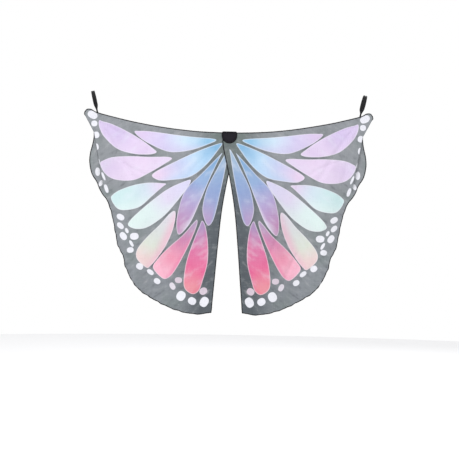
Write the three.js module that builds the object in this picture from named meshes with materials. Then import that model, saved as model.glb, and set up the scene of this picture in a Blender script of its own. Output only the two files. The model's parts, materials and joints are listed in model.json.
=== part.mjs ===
// Fairy wings: two butterfly wing panels of printed fabric that meet at a half-round patch, which
// fastens at the top of the wearer's back, with an elastic wrist loop at each top outer corner.
// Millimetres, +Z up, +X to the wearer's right, +Y the way the wearer faces. The origin is the centre
// of the hook tape's face that rests on the dress.
import * as THREE from 'three';
import { mergeVertices } from 'three/addons/utils/BufferGeometryUtils.js';

// Fabric and clearances
const fabricThickness = 1.5;
const seamGap = 0.3;
const edgingWidth = 2.6;

// Centre patch and what is sewn to it
const patchWidth = 43;
const patchHeight = 33;
const patchThickness = 2;
const threadWidth = 0.8;
const stitchInset = 2.2;
const tapeWidth = 38;
const tapeHeight = 24;
const tapeThickness = 1.6;
const tapeCornerRadius = 3;

// One wing, from the centre line out and from its top edge down
const wingReach = 420;
const wingDrop = 525;
const wingTopBelowPatchTop = 2.2;
const overlapPastCentre = 19;
const bottomGapHalf = 44;
const foldPastPatch = 1;
const attachShare = 0.914;
const attachRiseShare = 0.106;
const topEdgePower = 1.8;

// How the cloth hangs in depth; the margin's fold line and step are placed in shares of reach and drop
const forwardReach = 65;
const rampStart = 4;
const rampEndShare = 0.857;
const rampBlend = 0.15;
const hemWave = 11;
const hemWaveCount = 2.6;
const waveFade = 90;
const marginStep = 12;
const marginRun = 16;
const marginFoldReach = 0.938;
const marginFoldLean = 0.23;
const marginStepTop = 0;
const marginStepBottom = 0.4;
const marginStepFadeIn = 0.06;
const marginStepFadeOut = 0.1;

// Wrist loop
const wristRadius = 24.5;
const elasticWidth = 10;
const elasticThickness = 1.2;
const neckWidth = 5;
const neckHeight = 6;
const pinchHeight = 12;
const loopCentreHeight = 33.8;
const loopLean = THREE.MathUtils.degToRad(13);
const pivotAboveHem = 3.4;
const endsHeight = 13;
const tackHeight = 3.5;
const tackDrop = 2.6;
const tackThickness = 0.8;

// Values that follow from the sizes above
const wingTop = patchHeight / 2 - wingTopBelowPatchTop;
const hingeX = patchWidth / 2 + foldPastPatch;
const stripLimitX = hingeX - fabricThickness / 2 - seamGap;
const leftLayer = -(tapeThickness + seamGap + fabricThickness / 2);
const rightLayer = leftLayer - fabricThickness - seamGap;
const patchFront = rightLayer - fabricThickness / 2 - seamGap;
const attachX = attachShare * wingReach;

// Wing outline as shares of the reach (across) and of the drop (down)
const tipShares = [
  [0.952, -0.121], [0.981, -0.12], [0.997, -0.106],
];
const outerShares = [
  [0.99, -0.085], [0.962, -0.05], [0.935, -0.01], [0.93, 0.022], [0.943, 0.065], [0.96, 0.125],
  [0.962, 0.18], [0.94, 0.246], [0.9, 0.303], [0.845, 0.374], [0.805, 0.456], [0.781, 0.541],
  [0.757, 0.633], [0.722, 0.684], [0.703, 0.747], [0.657, 0.823],
];
const bottomShares = [[0.595, 0.88], [0.481, 0.937], [0.35, 0.979], [0.21, 1], [0.105, 0.989]];
// Inner edge: how far it has moved from the top overlap to the bottom gap, at shares of the drop
const innerShares = [[1, 0.989], [0.873, 0.808], [0.746, 0.617], [0.587, 0.427], [0.365, 0.265],
  [0.206, 0.18], [0.079, 0.113], [0, 0.056], [0, 0]];

// Segments along each side of a wing panel
const acrossSegments = 22;
const outerSegments = 26;
const lowerInnerSegments = 14;
const stripSegments = 14;
const topCurveSegments = 6;
const splitSteps = 40;
const samePlace = 1e-4;

const printedFabric = new THREE.MeshStandardMaterial({ color: '#b9b4c4', roughness: 0.6 });
const blackThread = new THREE.MeshStandardMaterial({ color: '#1c1b1e', roughness: 0.8 });
const blackElastic = new THREE.MeshStandardMaterial({ color: '#202024', roughness: 0.75 });
const blackFelt = new THREE.MeshStandardMaterial({ color: '#18171a', roughness: 0.95 });
const hookTapePlastic = new THREE.MeshStandardMaterial({ color: '#26262a', roughness: 0.5 });

const group = new THREE.Group();
group.name = 'fairy_wings';

function addPiece(name, geometry, material) {
  geometry.deleteAttribute('normal');
  geometry.deleteAttribute('uv');
  const sealed = mergeVertices(geometry, samePlace);
  sealed.computeVertexNormals();
  const mesh = new THREE.Mesh(sealed, material);
  mesh.name = name;
  group.add(mesh);
}

function smooth(share) {
  return THREE.MathUtils.smoothstep(share, 0, 1);
}

// Level at both ends, straight between them
function blendedRamp(share) {
  const t = THREE.MathUtils.clamp(share, 0, 1);
  const whole = 1 - rampBlend;
  if (t < rampBlend) {
    return (t * t) / (2 * rampBlend * whole);
  }
  if (t > whole) {
    return 1 - (1 - t) ** 2 / (2 * rampBlend * whole);
  }
  return (t - rampBlend / 2) / whole;
}

// How far forward of its layer the cloth hangs: the wrist pulls the top corner forward, the hem
// waves, and the outer margin is stepped forward beside the fold below the tip
function hangForward(x, z) {
  const down = (wingTop - z) / wingDrop;
  const fromHinge = x - hingeX - rampStart;
  const ramp = blendedRamp(fromHinge / (rampEndShare * wingReach - hingeX - rampStart));
  const loose = smooth(down) * smooth(fromHinge / waveFade);
  const wave = hemWave * loose * Math.sin((2 * Math.PI * hemWaveCount * x) / wingReach);
  const foldLineX = (marginFoldReach - marginFoldLean * down) * wingReach;
  const fadeIn = smooth((down - marginStepTop) / marginStepFadeIn);
  const fadeOut = smooth((marginStepBottom - down) / marginStepFadeOut);
  const step = marginStep * fadeIn * fadeOut * smooth((x - foldLineX) / marginRun);
  return forwardReach * ramp + wave + step;
}

function shareToPoint([across, down]) {
  return new THREE.Vector3(across * wingReach, 0, wingTop - down * wingDrop);
}

function innerShareToPoint([moved, down]) {
  const x = (overlapPastCentre + bottomGapHalf) * moved - overlapPastCentre;
  return new THREE.Vector3(x, 0, wingTop - down * wingDrop);
}

function topEdgeHeight(x) {
  const share = (x - hingeX) / (attachX - hingeX);
  return wingTop + attachRiseShare * wingDrop * share ** topEdgePower;
}

function topEdgePoints() {
  const points = [];
  for (let index = 0; index <= topCurveSegments; index += 1) {
    const x = THREE.MathUtils.lerp(hingeX, attachX, index / topCurveSegments);
    points.push(new THREE.Vector3(x, 0, topEdgeHeight(x)));
  }
  return points;
}

function smoothCurve(points) {
  return new THREE.CatmullRomCurve3(points, false, 'centripetal');
}

// Evenly spaced points on part of a curve, as x and height
function samplePart(curve, from, to, segments) {
  const points = [];
  for (let index = 0; index <= segments; index += 1) {
    const point = curve.getPointAt(THREE.MathUtils.lerp(from, to, index / segments));
    points.push(new THREE.Vector2(point.x, point.z));
  }
  return points;
}

function rightOf(from, to) {
  const along = to.clone().sub(from).normalize();
  return new THREE.Vector2(along.y, -along.x);
}

// The same line moved to the right of its direction of travel
function insetLine(points, distance) {
  const last = points.length - 1;
  return points.map((point, index) => {
    const start = Math.max(index - 1, 0);
    const end = Math.min(index + 1, last);
    const before = rightOf(points[start], points[start + 1]);
    const after = rightOf(points[end - 1], points[end]);
    const lean = before.clone().add(after).divideScalar(1 + before.dot(after));
    return point.clone().addScaledVector(lean, distance);
  });
}

const innerCurve = smoothCurve(innerShares.map(innerShareToPoint));

// Where the sewn strip's edging ends and the wing's own begins, as a share of the inner edge
function innerSplit() {
  let low = 0;
  let high = 1;
  for (let step = 0; step < splitSteps; step += 1) {
    const middle = (low + high) / 2;
    if (innerCurve.getPointAt(middle).x > stripLimitX - edgingWidth) {
      low = middle;
    } else {
      high = middle;
    }
  }
  return low;
}

const splitShare = innerSplit();
const splitGapShare = seamGap / innerCurve.getLength();

// Outline of the swinging part of a wing, clockwise from the hinge along the top
function wingRim() {
  const tip = tipShares.map(shareToPoint);
  const outer = outerShares.map(shareToPoint);
  const bottom = bottomShares.map(shareToPoint);
  const cornerPoint = outer[outer.length - 1];
  const top = samplePart(smoothCurve([...topEdgePoints(), ...tip]), 0, 1, acrossSegments);
  const side = samplePart(smoothCurve([tip[tip.length - 1], ...outer]), 0, 1, outerSegments);
  const hem = samplePart(smoothCurve([cornerPoint, ...bottom]), 0, 1, acrossSegments);
  const inner = samplePart(innerCurve, 0, splitShare - splitGapShare, lowerInnerSegments);
  return [...top, ...side.slice(1), ...hem.slice(1), ...inner.slice(1)];
}

// Grid of points over the swinging panel, blended from its four sides
function panelGrid() {
  const rim = insetLine(wingRim(), edgingWidth + seamGap);
  const corner = acrossSegments + outerSegments;
  const top = rim.slice(0, acrossSegments + 1);
  const outer = rim.slice(acrossSegments, corner + 1).reverse();
  const bottom = rim.slice(corner, corner + acrossSegments + 1).reverse();
  const inner = rim.slice(corner + acrossSegments);
  const hingeSegments = outerSegments - lowerInnerSegments;
  const lowZ = inner[inner.length - 1].y;
  for (let index = 1; index <= hingeSegments; index += 1) {
    const z = THREE.MathUtils.lerp(lowZ, top[0].y, index / hingeSegments);
    inner.push(new THREE.Vector2(hingeX, z));
  }
  const grid = [];
  for (let column = 0; column <= acrossSegments; column += 1) {
    const u = column / acrossSegments;
    grid.push(outer.map((outerPoint, row) => {
      const v = row / outerSegments;
      const sides = inner[row].clone().lerp(outerPoint, u);
      const ends = bottom[column].clone().lerp(top[column], v);
      const low = bottom[0].clone().lerp(bottom[acrossSegments], u);
      const corners = low.lerp(top[0].clone().lerp(top[acrossSegments], u), v);
      return sides.add(ends).sub(corners);
    }));
  }
  return grid;
}

function edgingGrid() {
  const rim = wingRim();
  const inside = insetLine(rim, edgingWidth);
  return rim.map((point, index) => [inside[index], point]);
}

// One fabric thickness of cloth over a grid of points; its hinge side is rounded about the hinge
function hangingSolid(grid, side, layer) {
  const columns = grid.length - 1;
  const rows = grid[0].length - 1;
  const geometry = new THREE.BoxGeometry(1, 1, 1, columns, 2, rows);
  const place = geometry.attributes.position;
  for (let index = 0; index < place.count; index += 1) {
    const column = Math.round((place.getX(index) + 0.5) * columns);
    const row = Math.round((place.getZ(index) + 0.5) * rows);
    const level = Math.round(place.getY(index) * 2);
    const point = grid[column][row];
    const atHinge = column === 0 && Math.abs(point.x - hingeX) < samePlace && level === 0;
    const x = point.x - (atHinge ? fabricThickness / 2 : 0);
    const y = layer + hangForward(point.x, point.y) + (level * fabricThickness) / 2;
    place.setXYZ(index, side * x, y, point.y);
  }
  return faceOutward(geometry, side);
}

function faceOutward(geometry, side) {
  if (side < 0) {
    geometry.index.array.reverse();
  }
  return geometry;
}

// A flat outline in x and height, given thickness behind its front face
function uprightSolid(shape, thickness, frontY) {
  const options = { depth: thickness, bevelEnabled: false, curveSegments: 20 };
  const geometry = new THREE.ExtrudeGeometry(shape, options);
  geometry.rotateX(Math.PI / 2);
  geometry.translate(0, frontY, 0);
  return geometry;
}

// Outline of the part of a wing that is sewn between patch and tape, up its inner edge and out
function stripRim() {
  const rise = samplePart(innerCurve, splitShare + splitGapShare, 1, stripSegments);
  return [...rise, new THREE.Vector2(stripLimitX, wingTop)];
}

function flatOutline(points, side) {
  return new THREE.Shape(points.map((point) => new THREE.Vector2(side * point.x, point.y)));
}

function wingStrip(side, layer) {
  const leastWidth = fabricThickness / 2;
  const inside = insetLine(stripRim(), edgingWidth + seamGap);
  const kept = inside.filter((point, index) => {
    return index === inside.length - 1 || point.x < stripLimitX - leastWidth;
  });
  const bottom = new THREE.Vector2(stripLimitX, kept[0].y);
  return uprightSolid(flatOutline([...kept, bottom], side), fabricThickness, layer);
}

function stripEdging(side, layer) {
  const rim = stripRim();
  const inside = insetLine(rim, edgingWidth).reverse();
  return uprightSolid(flatOutline([...rim, ...inside], side), fabricThickness, layer);
}

// The patch: level top, straight shoulders and a round bottom, drawn at any inset from its edge
function patchOutline(PathKind, inset) {
  const half = patchWidth / 2 - inset;
  const top = patchHeight / 2 - inset;
  const path = new PathKind();
  path.moveTo(half, top);
  path.lineTo(-half, top);
  path.absarc(0, (patchWidth - patchHeight) / 2, half, Math.PI, 2 * Math.PI, false);
  path.closePath();
  return path;
}

function centrePatch() {
  return uprightSolid(patchOutline(THREE.Shape, 0), patchThickness, patchFront);
}

function patchStitching() {
  const ring = patchOutline(THREE.Shape, stitchInset);
  ring.holes.push(patchOutline(THREE.Path, stitchInset + threadWidth));
  return uprightSolid(ring, threadWidth, patchFront - patchThickness - seamGap);
}

function hookTape() {
  const x = tapeWidth / 2;
  const z = tapeHeight / 2;
  const r = tapeCornerRadius;
  const shape = new THREE.Shape();
  shape.moveTo(-x + r, -z);
  shape.lineTo(x - r, -z);
  shape.quadraticCurveTo(x, -z, x, -z + r);
  shape.lineTo(x, z - r);
  shape.quadraticCurveTo(x, z, x - r, z);
  shape.lineTo(-x + r, z);
  shape.quadraticCurveTo(-x, z, -x, z - r);
  shape.lineTo(-x, -z + r);
  shape.quadraticCurveTo(-x, -z, -x + r, -z);
  return uprightSolid(shape, tapeThickness, 0);
}

// Moves a piece drawn upright at the loop's hinge into place on one wing
function placeAtLoop(geometry, side, layer) {
  const front = layer + forwardReach + fabricThickness / 2;
  geometry.rotateY(side * loopLean);
  geometry.translate(
    side * attachX,
    front + seamGap + elasticThickness,
    topEdgeHeight(attachX) + pivotAboveHem,
  );
  return geometry;
}

// Elastic seen from its side: a round loop drawn in to a neck, which ends in a round tip
function loopOutline() {
  const outerRadius = wristRadius + elasticThickness;
  const spread = Math.asin(wristRadius / (loopCentreHeight - neckHeight));
  const flankHeight = loopCentreHeight - outerRadius * Math.sin(spread);
  const flankReach = outerRadius * Math.cos(spread) - elasticThickness;
  const neckTop = flankHeight - flankReach / Math.tan(spread);
  const shape = new THREE.Shape();
  shape.moveTo(elasticThickness, 0);
  shape.lineTo(elasticThickness, neckTop);
  shape.absarc(0, loopCentreHeight, outerRadius, -spread, Math.PI + spread, false);
  shape.lineTo(-elasticThickness, neckTop);
  shape.absarc(0, 0, elasticThickness, Math.PI, 2 * Math.PI, false);
  const hole = new THREE.Path();
  hole.absarc(0, loopCentreHeight, wristRadius, -spread, Math.PI + spread, false);
  hole.lineTo(0, neckHeight);
  hole.closePath();
  shape.holes.push(hole);
  return shape;
}

function wristLoop(side, layer) {
  const options = { depth: elasticWidth, bevelEnabled: false, curveSegments: 28 };
  const geometry = new THREE.ExtrudeGeometry(loopOutline(), options);
  geometry.translate(0, 0, -elasticWidth / 2);
  const forward = new THREE.Vector3(0, 1, 0);
  const up = new THREE.Vector3(0, 0, 1);
  const across = new THREE.Vector3(1, 0, 0);
  geometry.applyMatrix4(new THREE.Matrix4().makeBasis(forward, up, across));
  const place = geometry.attributes.position;
  for (let index = 0; index < place.count; index += 1) {
    const spread = smooth((place.getZ(index) - elasticThickness) / pinchHeight);
    const width = THREE.MathUtils.lerp(neckWidth / elasticWidth, 1, spread);
    place.setX(index, place.getX(index) * width);
  }
  return placeAtLoop(geometry, side, layer);
}

// The elastic's two ends, one on the other, sewn flat on the wearer's side of the wing
function loopEnds(side, layer) {
  const geometry = new THREE.BoxGeometry(neckWidth, 2 * elasticThickness, endsHeight);
  geometry.translate(0, 0, -elasticThickness - seamGap - endsHeight / 2);
  return placeAtLoop(geometry, side, layer);
}

// Bar of stitches through hem and elastic, on the side of the wing that faces away
function loopTack(side, layer) {
  const geometry = new THREE.BoxGeometry(neckWidth, tackThickness, tackHeight);
  const behind = elasticThickness + 2 * seamGap + fabricThickness + tackThickness / 2;
  geometry.translate(0, -behind, -tackDrop - tackHeight / 2);
  return placeAtLoop(geometry, side, layer);
}

addPiece('centre_patch', centrePatch(), blackFelt);
addPiece('patch_stitching', patchStitching(), blackThread);
addPiece('hook_tape', hookTape(), hookTapePlastic);

const wings = [['right', 1, rightLayer], ['left', -1, leftLayer]];
wings.forEach(([name, side, layer]) => {
  const front = layer + fabricThickness / 2;
  addPiece(`${name}_wing_panel`, hangingSolid(panelGrid(), side, layer), printedFabric);
  addPiece(`${name}_wing_edging`, hangingSolid(edgingGrid(), side, layer), blackThread);
  addPiece(`${name}_sewn_strip`, wingStrip(side, front), printedFabric);
  addPiece(`${name}_strip_edging`, stripEdging(side, front), blackThread);
  addPiece(`${name}_wrist_loop`, wristLoop(side, layer), blackElastic);
  addPiece(`${name}_loop_ends`, loopEnds(side, layer), blackElastic);
  addPiece(`${name}_loop_tack`, loopTack(side, layer), blackThread);
});

export default group;
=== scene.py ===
import math
import json
import bpy
import numpy as np
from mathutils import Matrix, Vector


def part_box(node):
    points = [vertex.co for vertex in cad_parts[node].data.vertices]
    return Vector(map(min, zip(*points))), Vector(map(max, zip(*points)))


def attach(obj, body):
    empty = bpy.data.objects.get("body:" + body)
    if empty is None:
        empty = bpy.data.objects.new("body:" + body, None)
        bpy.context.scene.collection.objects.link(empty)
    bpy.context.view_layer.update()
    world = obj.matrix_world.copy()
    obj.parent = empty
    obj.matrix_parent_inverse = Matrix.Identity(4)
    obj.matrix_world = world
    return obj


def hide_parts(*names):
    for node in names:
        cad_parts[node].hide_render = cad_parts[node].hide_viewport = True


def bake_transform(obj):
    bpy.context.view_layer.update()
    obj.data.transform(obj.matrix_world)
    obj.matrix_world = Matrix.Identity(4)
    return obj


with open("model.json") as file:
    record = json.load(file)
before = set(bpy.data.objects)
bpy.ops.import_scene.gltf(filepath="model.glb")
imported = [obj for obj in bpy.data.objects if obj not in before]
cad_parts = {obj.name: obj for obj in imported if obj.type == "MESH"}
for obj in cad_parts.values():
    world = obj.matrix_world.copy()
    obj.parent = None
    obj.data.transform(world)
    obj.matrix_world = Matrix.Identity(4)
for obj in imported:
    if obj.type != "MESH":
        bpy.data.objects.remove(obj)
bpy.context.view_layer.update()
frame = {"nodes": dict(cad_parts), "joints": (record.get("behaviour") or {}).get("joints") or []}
mm = 0.001
brightest = 0.73   # share of the light that white cloth sends back

# Sizes that every piece shares, read from the frame. The edging's outermost point is the wing's tip.
tipShare = 0.997
edgingLow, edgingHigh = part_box("right_wing_edging")
stripLow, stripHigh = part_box("right_strip_edging")
patchLow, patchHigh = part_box("centre_patch")
tapeLow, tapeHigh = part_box("hook_tape")
wing = {
    "reach": edgingHigh.x / tipShare,
    "top": stripHigh.z,
    "drop": stripHigh.z - edgingLow.z,
    "pastCentre": -stripLow.x,     # cloth sewn under the patch, beyond the centre line
    "hinge": frame["joints"][0]["pos_m"][0],
    "forward": 0.065,              # how far the wrist is in front of the patch
}

# depth of each wing's cloth at the centre, where one lies on the other
layers = {
    "right": sum(corner.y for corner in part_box("right_sewn_strip")) / 2,
    "left": sum(corner.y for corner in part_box("left_sewn_strip")) / 2,
}
sides = {"right": 1, "left": -1}


# Small helpers

def smooth(share):
    t = np.clip(share, 0, 1)
    return t * t * (3 - 2 * t)


def colour(red, green, blue):
    # display values 0-255 under the studio light to the linear colour that shaders use
    shares = np.array([red, green, blue]) / 255
    linear = np.where(shares <= 0.04045, shares / 12.92, ((shares + 0.055) / 1.055) ** 2.4)
    return (*(linear * brightest).tolist(), 1)


def splineThrough(points, perSpan=10, closed=False):
    # Catmull-Rom through every point
    given = np.array(points, float)
    count = len(given)
    if closed:
        around = np.vstack([given[-1:], given, given[:2]])
        spans = count
    else:
        first = 2 * given[0] - given[1]
        last = 2 * given[-1] - given[-2]
        around = np.vstack([first, given, last])
        spans = count - 1
    line = []
    for span in range(spans):
        a, b, c, d = around[span:span + 4]
        for t in np.arange(perSpan) / perSpan:
            line.append(0.5 * (2 * b + (c - a) * t + (2 * a - 5 * b + 4 * c - d) * t ** 2
                               + (3 * b - a - 3 * c + d) * t ** 3))
    if not closed:
        line.append(given[-1])
    return np.array(line)


def evenly(line, count):
    # the same line as `count` evenly spaced points
    steps = np.r_[0, np.cumsum(np.linalg.norm(np.diff(line[:, :3], axis=0), axis=1))]
    places = np.linspace(0, steps[-1], count)
    return np.stack([np.interp(places, steps, line[:, k]) for k in range(line.shape[1])], 1)


def unit(vectors):
    return vectors / np.linalg.norm(vectors, axis=1)[:, None]


def headings(loop):
    # direction along a closed line at each of its points
    return unit(np.roll(loop, -1, 0) - np.roll(loop, 1, 0))


def makeObject(name, points, faces, shadeSmooth=True):
    mesh = bpy.data.meshes.new(name)
    mesh.from_pydata(np.asarray(points).tolist(), [], [tuple(face) for face in faces])
    mesh.validate()
    if shadeSmooth:
        mesh.shade_smooth()
    thing = bpy.data.objects.new(name, mesh)
    bpy.context.scene.collection.objects.link(thing)
    return thing


def setAttribute(mesh, name, kind, values, part="value"):
    attribute = mesh.attributes.new(name, kind, "POINT")
    attribute.data.foreach_set(part, np.asarray(values, np.float32).ravel())


def setUv(mesh, uvs):
    # one uv pair per vertex
    layer = mesh.uv_layers.new(name="UVMap")
    corners = np.zeros(len(mesh.loops), np.int32)
    mesh.loops.foreach_get("vertex_index", corners)
    layer.data.foreach_set("uv", np.asarray(uvs, np.float32)[corners].ravel())


def addNode(tree, kind, inputs=None, **settings):
    node = tree.nodes.new(kind)
    for name, value in settings.items():
        setattr(node, name, value)
    for key, value in (inputs or {}).items():
        if isinstance(value, bpy.types.NodeSocket):
            tree.links.new(value, node.inputs[key])
        else:
            node.inputs[key].default_value = value
    return node


def maths(tree, operation, first, second=0.0, third=0.0):
    values = {0: first, 1: second, 2: third}
    return addNode(tree, "ShaderNodeMath", values, operation=operation).outputs[0]


def remap(tree, value, low, high, toLow=0.0, toHigh=1.0):
    inputs = {"Value": value, "From Min": low, "From Max": high, "To Min": toLow, "To Max": toHigh}
    node = addNode(tree, "ShaderNodeMapRange", inputs, interpolation_type="SMOOTHSTEP")
    return node.outputs["Result"]


def mixColours(tree, share, first, second):
    inputs = {0: share, 6: first, 7: second}
    return addNode(tree, "ShaderNodeMix", inputs, data_type="RGBA").outputs[2]


def readAttribute(tree, name, output="Fac"):
    return addNode(tree, "ShaderNodeAttribute", attribute_name=name).outputs[output]


def newGroup(name, inputs, outputs):
    # inputs: name -> (socket kind, default); outputs: name -> socket kind
    tree = bpy.data.node_groups.new(name, "ShaderNodeTree")
    for label, (kind, default) in inputs.items():
        socket = tree.interface.new_socket(label, in_out="INPUT", socket_type=kind)
        if default is not None:
            socket.default_value = default
    for label, kind in outputs.items():
        tree.interface.new_socket(label, in_out="OUTPUT", socket_type=kind)
    return tree, tree.nodes.new("NodeGroupInput").outputs, tree.nodes.new("NodeGroupOutput").inputs


def useGroup(tree, group, inputs):
    return addNode(tree, "ShaderNodeGroup", inputs, node_tree=group).outputs


def newMaterial(name, **surface):
    # a material with its Principled shader; plain values go straight on its sockets
    material = bpy.data.materials.new(name)
    material.use_nodes = True
    tree = material.node_tree
    shader = tree.nodes["Principled BSDF"]
    for label, value in surface.items():
        shader.inputs[label.replace("_", " ")].default_value = value
    return material, tree, shader


def dress(tree, shader, tone, height, strength, depth):
    # colour and relief of a material
    bump = addNode(tree, "ShaderNodeBump", {"Height": height, "Strength": strength, "Distance": depth})
    tree.links.new(tone, shader.inputs["Base Color"])
    tree.links.new(bump.outputs[0], shader.inputs["Normal"])


# Shader groups that several materials use

def weaveGroup():
    # plain weave: height of warp and weft threads from a uv in metres
    tree, given, result = newGroup(
        "plainWeave",
        {"Vector": ("NodeSocketVector", None), "Pitch": ("NodeSocketFloat", 0.0008)},
        {"Height": "NodeSocketFloat"})
    turns = maths(tree, "DIVIDE", math.pi, given["Pitch"])
    scaled = addNode(tree, "ShaderNodeVectorMath", {0: given["Vector"], "Scale": turns},
                     operation="SCALE").outputs[0]
    apart = addNode(tree, "ShaderNodeSeparateXYZ", {0: scaled}).outputs
    warp = maths(tree, "SINE", apart[0])
    weft = maths(tree, "SINE", apart[1])
    over = maths(tree, "MULTIPLY_ADD", maths(tree, "MULTIPLY", warp, weft), 0.5, 0.5)
    warpHeight = maths(tree, "MULTIPLY", maths(tree, "ABSOLUTE", warp), over)
    under = maths(tree, "SUBTRACT", 1.0, over)
    weftHeight = maths(tree, "MULTIPLY", maths(tree, "ABSOLUTE", weft), under)
    tree.links.new(maths(tree, "ADD", warpHeight, weftHeight), result["Height"])
    return tree


def mottleGroup():
    # soft cloudy value round zero
    tree, given, result = newGroup(
        "mottle",
        {"Vector": ("NodeSocketVector", None), "Scale": ("NodeSocketFloat", 20.0),
         "Detail": ("NodeSocketFloat", 4.0), "Amount": ("NodeSocketFloat", 1.0)},
        {"Value": "NodeSocketFloat"})
    noise = addNode(tree, "ShaderNodeTexNoise", {
        "Vector": given["Vector"], "Scale": given["Scale"], "Detail": given["Detail"]})
    centred = maths(tree, "SUBTRACT", noise.outputs["Fac"], 0.5)
    tree.links.new(maths(tree, "MULTIPLY", centred, given["Amount"]), result["Value"])
    return tree


def lintGroup():
    # sparse pale fibres and specks that settle on dark cloth
    tree, given, result = newGroup(
        "lint",
        {"Vector": ("NodeSocketVector", None), "Scale": ("NodeSocketFloat", 400.0),
         "Amount": ("NodeSocketFloat", 0.3)},
        {"Mask": "NodeSocketFloat"})
    noise = addNode(tree, "ShaderNodeTexNoise", {
        "Vector": given["Vector"], "Scale": given["Scale"], "Detail": 6.0, "Roughness": 0.7})
    specks = remap(tree, noise.outputs["Fac"], 0.6, 0.75)
    tree.links.new(maths(tree, "MULTIPLY", specks, given["Amount"]), result["Mask"])
    return tree


weave = weaveGroup()
mottle = mottleGroup()
lint = lintGroup()


def cloudy(tree, place, scale, amount, detail=4.0):
    return useGroup(tree, mottle, {"Vector": place, "Scale": scale, "Detail": detail,
                                   "Amount": amount})["Value"]


def dusty(tree, tone, place, scale, amount, dust):
    # a tone with pale lint on it
    mask = useGroup(tree, lint, {"Vector": place, "Scale": scale, "Amount": amount})["Mask"]
    return mixColours(tree, mask, tone, dust)


# The wing's cloth: its outline laid flat, in shares of reach (across) and drop (down). The outer side
# holds the width that the fold below the tip takes up.
outline = {
    "outer": [(1.001, -0.108), (1.004, -0.09), (1.001, -0.06), (0.991, -0.02), (0.986, 0.02),
              (0.993, 0.065), (1.01, 0.125), (1.012, 0.18), (0.99, 0.246), (0.93, 0.303),
              (0.845, 0.374), (0.805, 0.456), (0.781, 0.541), (0.757, 0.633), (0.722, 0.684),
              (0.703, 0.747), (0.657, 0.823)],
    "bottom": [(0.657, 0.823), (0.595, 0.88), (0.481, 0.937), (0.35, 0.979), (0.21, 1), (0.105, 0.989)],
    "tip": [(0.953, -0.122), (0.983, -0.123), (1.001, -0.108)],
    "inner": [(1, 0.989), (0.873, 0.808), (0.746, 0.617), (0.587, 0.427), (0.365, 0.265),
              (0.206, 0.18), (0.079, 0.113), (0, 0.056), (0, 0)],
    "bottomGapHalf": 0.044,    # inner lower corner from the centre line, m
    "attach": 0.914,           # where the elastic is sewn on, and how far the top edge has risen there
    "attachRise": 0.106,
    "topPower": 1.8,           # how late the top edge rises
    "across": 176,             # faces across and up the cloth
    "up": 216,
}

hanging = {
    "rampStart": 0.004,    # the cloth leads forward from just past the hinge to this share of reach
    "rampEnd": 0.857,
    "rampBlend": 0.15,
    "wave": 0.011,         # slow waves across the wing, and over what length they fade in
    "waveCount": 2.6,
    "waveFade": 0.09,
    "foldReach": 0.932,    # fold line below the tip, in shares; it flares out towards the tip
    "foldLean": 0.23,
    "foldFlare": 0.44,
    "flareTo": 0.01,
    "foldFrom": -0.105,    # and how far down the cloth is folded
    "foldTo": 0.36,
    "foldCloth": 0.021,    # cloth the fold takes up
    "foldRun": 0.014,
    "foldDepth": 0.008,
    "ruffle": 0.0024,      # small waves of the free hem, their length, and how far in they reach
    "ruffleLength": 0.044,
    "ruffleReach": 0.034,
    "pullLines": 0.0012,   # depth of the fans of lines at the wrist and at the patch
    "creaseScale": 1.5,
    "ripple": 0.0016,
    "thickness": 0.0005,
    "seed": 4,
}


# soft creases in the hanging cloth: from, to, depth and width, all in millimetres
creaseLines = [
    (384, 60, 236, -170, 2.6, 7), (380, 50, 318, -235, 2.2, 7), (372, 40, 225, -20, 1.8, 6),
    (330, -60, 215, -118, 1.5, 5), (350, -280, 196, -440, 2.4, 8), (300, -225, 236, -420, 2.0, 8),
    (44, -26, 176, -330, 1.9, 7), (150, -270, 84, -478, 2.3, 8), (36, -14, 210, -250, 1.5, 7),
    (205, -330, 150, -470, 2.0, 7),
]


def wingEdge(name):
    if name == "inner":
        reach = wing["pastCentre"] + outline["bottomGapHalf"]
        points = [(moved * reach - wing["pastCentre"], wing["top"] - down * wing["drop"])
                  for moved, down in outline["inner"]]
    elif name == "top":
        attachX = outline["attach"] * wing["reach"]
        points = [(-wing["pastCentre"], wing["top"]), (0, wing["top"])]
        for x in np.linspace(wing["hinge"], attachX, 8):
            share = (x - wing["hinge"]) / (attachX - wing["hinge"])
            rise = outline["attachRise"] * wing["drop"] * share ** outline["topPower"]
            points.append((x, wing["top"] + rise))
        points += [(x * wing["reach"], wing["top"] - down * wing["drop"]) for x, down in outline["tip"]]
    else:
        points = [(x * wing["reach"], wing["top"] - down * wing["drop"]) for x, down in outline[name]]
    return splineThrough(points)


def layOut():
    # grid of points over one wing laid flat, blended from its four edges
    across, up = outline["across"], outline["up"]
    top = evenly(wingEdge("top"), across + 1)
    outer = evenly(wingEdge("outer"), up + 1)[::-1]
    bottom = evenly(wingEdge("bottom"), across + 1)[::-1]
    inner = evenly(wingEdge("inner"), up + 1)
    u = np.linspace(0, 1, across + 1)[:, None, None]
    v = np.linspace(0, 1, up + 1)[None, :, None]
    ends = (1 - v) * bottom[:, None] + v * top[:, None]
    rims = (1 - u) * inner[None] + u * outer[None]
    corners = ((1 - u) * (1 - v) * bottom[0] + u * (1 - v) * bottom[-1]
               + (1 - u) * v * top[0] + u * v * top[-1])
    return ends + rims - corners


def ramp(share):
    # level at both ends, straight between
    t = np.clip(share, 0, 1)
    blend = hanging["rampBlend"]
    whole = 1 - blend
    middle = (t - blend / 2) / whole
    low = t ** 2 / (2 * blend * whole)
    high = 1 - (1 - t) ** 2 / (2 * blend * whole)
    return np.where(t < blend, low, np.where(t > whole, high, middle))


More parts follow.
